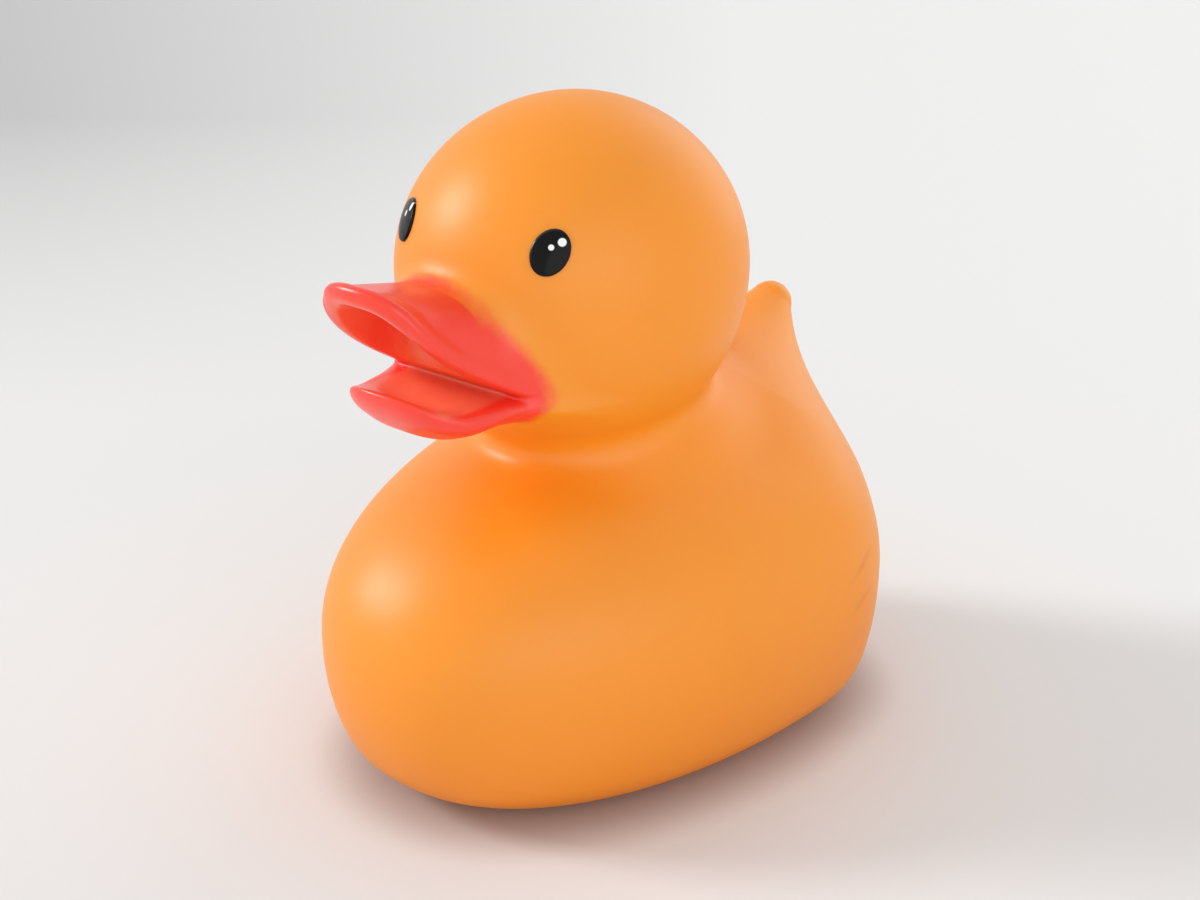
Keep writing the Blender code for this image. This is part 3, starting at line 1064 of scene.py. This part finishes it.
@dataclass(frozen=True)
class Eye:
    """Raised oval eye that follows the head and dips into it."""

    sizes: DuckSizes
    side: Side
    turn: float
    rise: float
    lean: float
    half_width: float = 0.00217
    half_height: float = 0.00278
    proud: float = 0.00035
    dome: float = 0.00010
    bevel: float = 0.0002
    sunk: float = 0.0004
    around: int = 96
    rings: int = 14
    bevel_rings: int = 6

    @property
    def node(self) -> str:
        """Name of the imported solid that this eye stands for."""
        return self.side.name.lower() + "_eye"

    def axes(self) -> tuple[Vector, Vector, Vector]:
        """Directions from the head's centre outwards, backwards and up the eye."""
        turn = math.radians(self.turn)
        up = math.radians(self.rise)
        sign = self.side.value
        out = Vector((sign * math.sin(turn) * math.cos(up), -math.cos(turn) * math.cos(up), math.sin(up)))
        back = Vector((sign * math.cos(turn), math.sin(turn), 0.0))
        high = out.cross(back)
        return out, back, (high if high.z > 0.0 else -high)

    def head_point(self, direction: Vector, offset: float) -> Vector:
        """Point over the head's surface.

        Args:
            direction: Direction from the head's centre.
            offset: Height above the surface.

        Returns:
            The point.
        """
        s = self.sizes
        d = direction.normalized()
        reach = Vector((s.head_half_width, s.head_front if d.y < 0.0 else s.head_back,
                        s.head_above if d.z > 0.0 else s.head_below))
        r = 1.0 / math.sqrt(sum((d[k] / reach[k]) ** 2 for k in range(3)))
        normal = Vector(d[k] * r / reach[k] ** 2 for k in range(3)).normalized()
        return Vector((0.0, s.head_y, s.head_z)) + d * r + normal * offset

    def profile(self) -> list[tuple[float, float, float]]:
        """Rings of the eye from its middle outwards and down.

        Returns:
            For each ring its share of the oval, its inset and its height.
        """
        result = []
        for k in range(1, self.rings + 1):
            share = k / self.rings
            result.append((share, -self.bevel * share, self.proud + self.dome * (1.0 - share * share)))
        for k in range(1, self.bevel_rings + 1):
            angle = 0.5 * math.pi * k / self.bevel_rings
            result.append((1.0, -self.bevel * (1.0 - math.sin(angle)),
                           self.proud - self.bevel * (1.0 - math.cos(angle))))
        result.append((1.0, 0.0, -self.sunk))
        return result

    def mesh(self) -> bpy.types.Mesh:
        """Build the closed eye.

        Returns:
            The mesh.
        """
        out, back, high = self.axes()
        lean = math.radians(self.lean)
        points = []
        for share, inset, height in self.profile():
            for k in range(self.around):
                angle = 2.0 * math.pi * k / self.around
                u = (self.half_width * share + inset) * math.cos(angle)
                v = (self.half_height * share + inset) * math.sin(angle)
                across = u * math.cos(lean) + v * math.sin(lean)
                along = v * math.cos(lean) - u * math.sin(lean)
                direction = out + (back * across + high * along) / self.sizes.head_half_width
                points.append(self.head_point(direction, height))
        n = self.around
        count = len(points) // n
        faces = [(r * n + k, r * n + (k + 1) % n, (r + 1) * n + (k + 1) % n, (r + 1) * n + k)
                 for r in range(count - 1) for k in range(n)]
        points.append(self.head_point(out, self.proud + self.dome))
        points.append(self.head_point(out, -self.sunk))
        last = (count - 1) * n
        faces += [(len(points) - 2, (k + 1) % n, k) for k in range(n)]
        faces += [(len(points) - 1, last + k, last + (k + 1) % n) for k in range(n)]
        if back.cross(high).dot(out) > 0.0:
            faces = [face[::-1] for face in faces]
        mesh = bpy.data.meshes.new(self.node + "_gloss")
        mesh.from_pydata([tuple(point) for point in points], [], faces)
        mesh.shade_smooth()
        return mesh

    def make(self, finish: EyeFinish) -> bpy.types.Object:
        """Build, dress and seat the eye.

        Args:
            finish: The eye's gloss and painted highlights.

        Returns:
            The finished object.
        """
        out, back, high = self.axes()
        centre = self.head_point(out, self.proud)
        right = back * self.side.value
        lean = math.radians(self.lean)
        half_axes = ((back * math.cos(lean) - high * math.sin(lean)) * self.half_width,
                     (back * math.sin(lean) + high * math.cos(lean)) * self.half_height)
        mesh = self.mesh()
        mesh.materials.append(finish.material(self.node + "_gloss_black", centre, right, high, half_axes))
        thing = new_object(self.node + "_dressed", mesh)
        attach(thing, ROOT_BODY)
        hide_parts(self.node)
        return thing


@dataclass(frozen=True)
class Duck:
    """The duck: its moulded skin and its two eyes, with each eye's turn, rise and lean in degrees."""

    sizes: DuckSizes = field(default_factory=DuckSizes)
    left_angles: tuple = (34.2, 17.6, 26.0)
    right_angles: tuple = (26.2, 19.2, 33.0)

    def skin(self) -> bpy.types.Object:
        """Grow and dress the moulded skin."""
        material = VinylFinish(self.sizes).material()
        thing = SkinMaker(self.sizes).grow("duck_skin", material)
        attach(thing, ROOT_BODY)
        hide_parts("duck_body")
        return thing

    def build(self) -> None:
        """Make every piece of the duck."""
        left = Eye(self.sizes, Side.LEFT, *self.left_angles)
        right = Eye(self.sizes, Side.RIGHT, *self.right_angles)
        steep = EyeFinish(glints=EyeFinish.steep_glints)
        pieces = [self.skin(), left.make(EyeFinish()), right.make(steep)]
        for piece in pieces:
            LOG.info("%s: %d faces", piece.name, len(piece.data.polygons))


@dataclass(frozen=True)
class Studio:
    """Pale floor, soft lamps and the camera at the photograph's viewing angle."""

    sizes: DuckSizes
    azimuth: float = 41.0
    elevation: float = 21.49
    distance: float = 0.2351
    lens: float = 50.0
    sensor: float = 36.0
    aim_forward: float = 0.0078
    aim_height: float = 0.036
    aim_right: float = -0.00374
    aim_up: float = 0.00089
    floor_half: float = 3.0
    floor_colour: Colour = (0.83, 0.828, 0.825, 1.0)
    # Grey of the painted shade that darkens the floor towards the far left.
    floor_shade_colour: Colour = (0.53, 0.53, 0.53, 1.0)
    camera_run: float = 0.22
    floor_shade_edge: float = 0.08
    floor_shade_spread: float = 0.423
    floor_shade_near: float = 0.12
    floor_shade_reach: float = 0.35
    # Colour and reach of the painted contact shadow around the duck's base.
    contact_shadow_colour: Colour = (0.56, 0.515, 0.495, 1.0)
    contact_shadow_reach: float = 0.0085
    overhead_strength: float = 0.62
    horizon_strength: float = 0.88
    floor_roughness: float = 0.7
    floor_gap: float = 0.0001
    lamps: tuple = (("key", (-0.85, 0.51, 0.05), 17.0, 0.44), ("rim", (0.60, 0.62, -0.50), 50.0, 0.15),
                    ("fill", (0.35, -0.20, 0.90), 60.0, 0.25))

    def view_axes(self) -> tuple[Vector, Vector, Vector]:
        """Directions to the camera's right, up and back from the duck."""
        a = math.radians(self.azimuth)
        e = math.radians(self.elevation)
        back = Vector((math.sin(a) * math.cos(e), -math.cos(a) * math.cos(e), math.sin(e)))
        right = Vector((math.cos(a), math.sin(a), 0.0))
        return right, back.cross(right), back

    def aim(self) -> Vector:
        """Point that the camera looks at."""
        right, up, _ = self.view_axes()
        middle = Vector((0.0, self.sizes.body_y - self.aim_forward, self.aim_height))
        return middle + right * self.aim_right + up * self.aim_up

    def camera(self) -> None:
        """Make the camera and look through it."""
        right, up, back = self.view_axes()
        data = bpy.data.cameras.new("camera")
        data.lens = self.lens
        data.sensor_width = self.sensor
        data.clip_start = 0.01
        data.clip_end = 20.0
        thing = new_object("camera", data)
        turn = Matrix((right, up, back)).transposed().to_4x4()
        thing.matrix_world = Matrix.Translation(self.aim() + back * self.distance) @ turn
        bpy.context.scene.camera = thing

    def lamp(self, name: str, direction: tuple[float, float, float], spread: float,
             strength: float) -> None:
        """Far soft lamp that lights the duck and the floor evenly.

        Args:
            name: The lamp's name.
            direction: Where it stands, as shares of the view's right, up and back.
            spread: How wide it looks from the duck, in degrees.
            strength: Its light, where 1 makes a white sheet that faces it white.
        """
        data = bpy.data.lights.new(name, "SUN")
        data.angle = math.radians(spread)
        data.energy = strength * math.pi
        right, up, back = self.view_axes()
        way = (right * direction[0] + up * direction[1] + back * direction[2]).normalized()
        new_object(name, data).matrix_world = way.to_track_quat("Z", "Y").to_matrix().to_4x4()

    def floor(self) -> None:
        """Pale floor under the duck, with painted shade towards the far left and a painted contact shadow
        around the duck's base.
        """
        h = self.floor_half
        corners = [(x, y, -self.floor_gap) for x, y in ((-h, -h), (h, -h), (h, h), (-h, h))]
        mesh = bpy.data.meshes.new("floor")
        mesh.from_pydata(corners, [], [(0, 1, 2, 3)])
        material, nodes, shader = new_material("pale_floor")
        right, _, _ = self.view_axes()
        forward = right.cross(Vector((0.0, 0.0, 1.0)))
        place = nodes.add("ShaderNodeTexCoord").outputs["Object"]
        across = nodes.vector("DOT_PRODUCT", place, tuple(right), output=1)
        away = nodes.vector("DOT_PRODUCT", place, tuple(-forward), output=1)
        # Painted shade: the floor turns darker towards the far left.
        bearing = -across / larger(away + self.camera_run, 0.05)
        painted_floor_shade = ((bearing + self.floor_shade_edge) / self.floor_shade_spread).clamped()
        painted_floor_shade = painted_floor_shade * ((away - self.floor_shade_near) / self.floor_shade_reach).clamped()
        shaded_floor_tone = nodes.mix(painted_floor_shade, self.floor_colour, self.floor_shade_colour)
        # Painted contact shadow: the floor darkens close to the duck's body.
        gap = DuckForm(self.sizes).body(nodes.split(place))
        painted_contact_shadow = ease(1.0 - gap / self.contact_shadow_reach)
        nodes.feed(shader.inputs["Base Color"], nodes.mix(painted_contact_shadow, shaded_floor_tone, self.contact_shadow_colour))
        shader.inputs["Roughness"].default_value = self.floor_roughness
        mesh.materials.append(material)
        thing = new_object("floor", mesh)

    def world(self) -> None:
        """White surroundings, brighter at the horizon than overhead."""
        world = bpy.data.worlds.new("studio")
        world.use_nodes = True
        nodes = Nodes(world.node_tree)
        direction = nodes.add("ShaderNodeTexCoord").outputs["Generated"]
        rise = larger(nodes.split(direction)[2], 0.0)
        background = world.node_tree.nodes["Background"]
        background.inputs["Color"].default_value = (1.0, 1.0, 1.0, 1.0)
        strength = self.horizon_strength + (self.overhead_strength - self.horizon_strength) * rise
        nodes.feed(background.inputs["Strength"], strength)
        bpy.context.scene.world = world

    def build(self) -> None:
        """Set up the floor, the lamps, the world and the camera."""
        self.floor()
        self.world()
        for lamp in self.lamps:
            self.lamp(*lamp)
        self.camera()
        bpy.context.scene.view_settings.view_transform = "Standard"


def main() -> None:
    """Build the duck and its studio."""
    logging.basicConfig(level=logging.INFO, format="%(name)s: %(message)s")
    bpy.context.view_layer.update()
    duck = Duck()
    duck.build()
    Studio(duck.sizes).build()


if __name__ == "__main__":
    main()
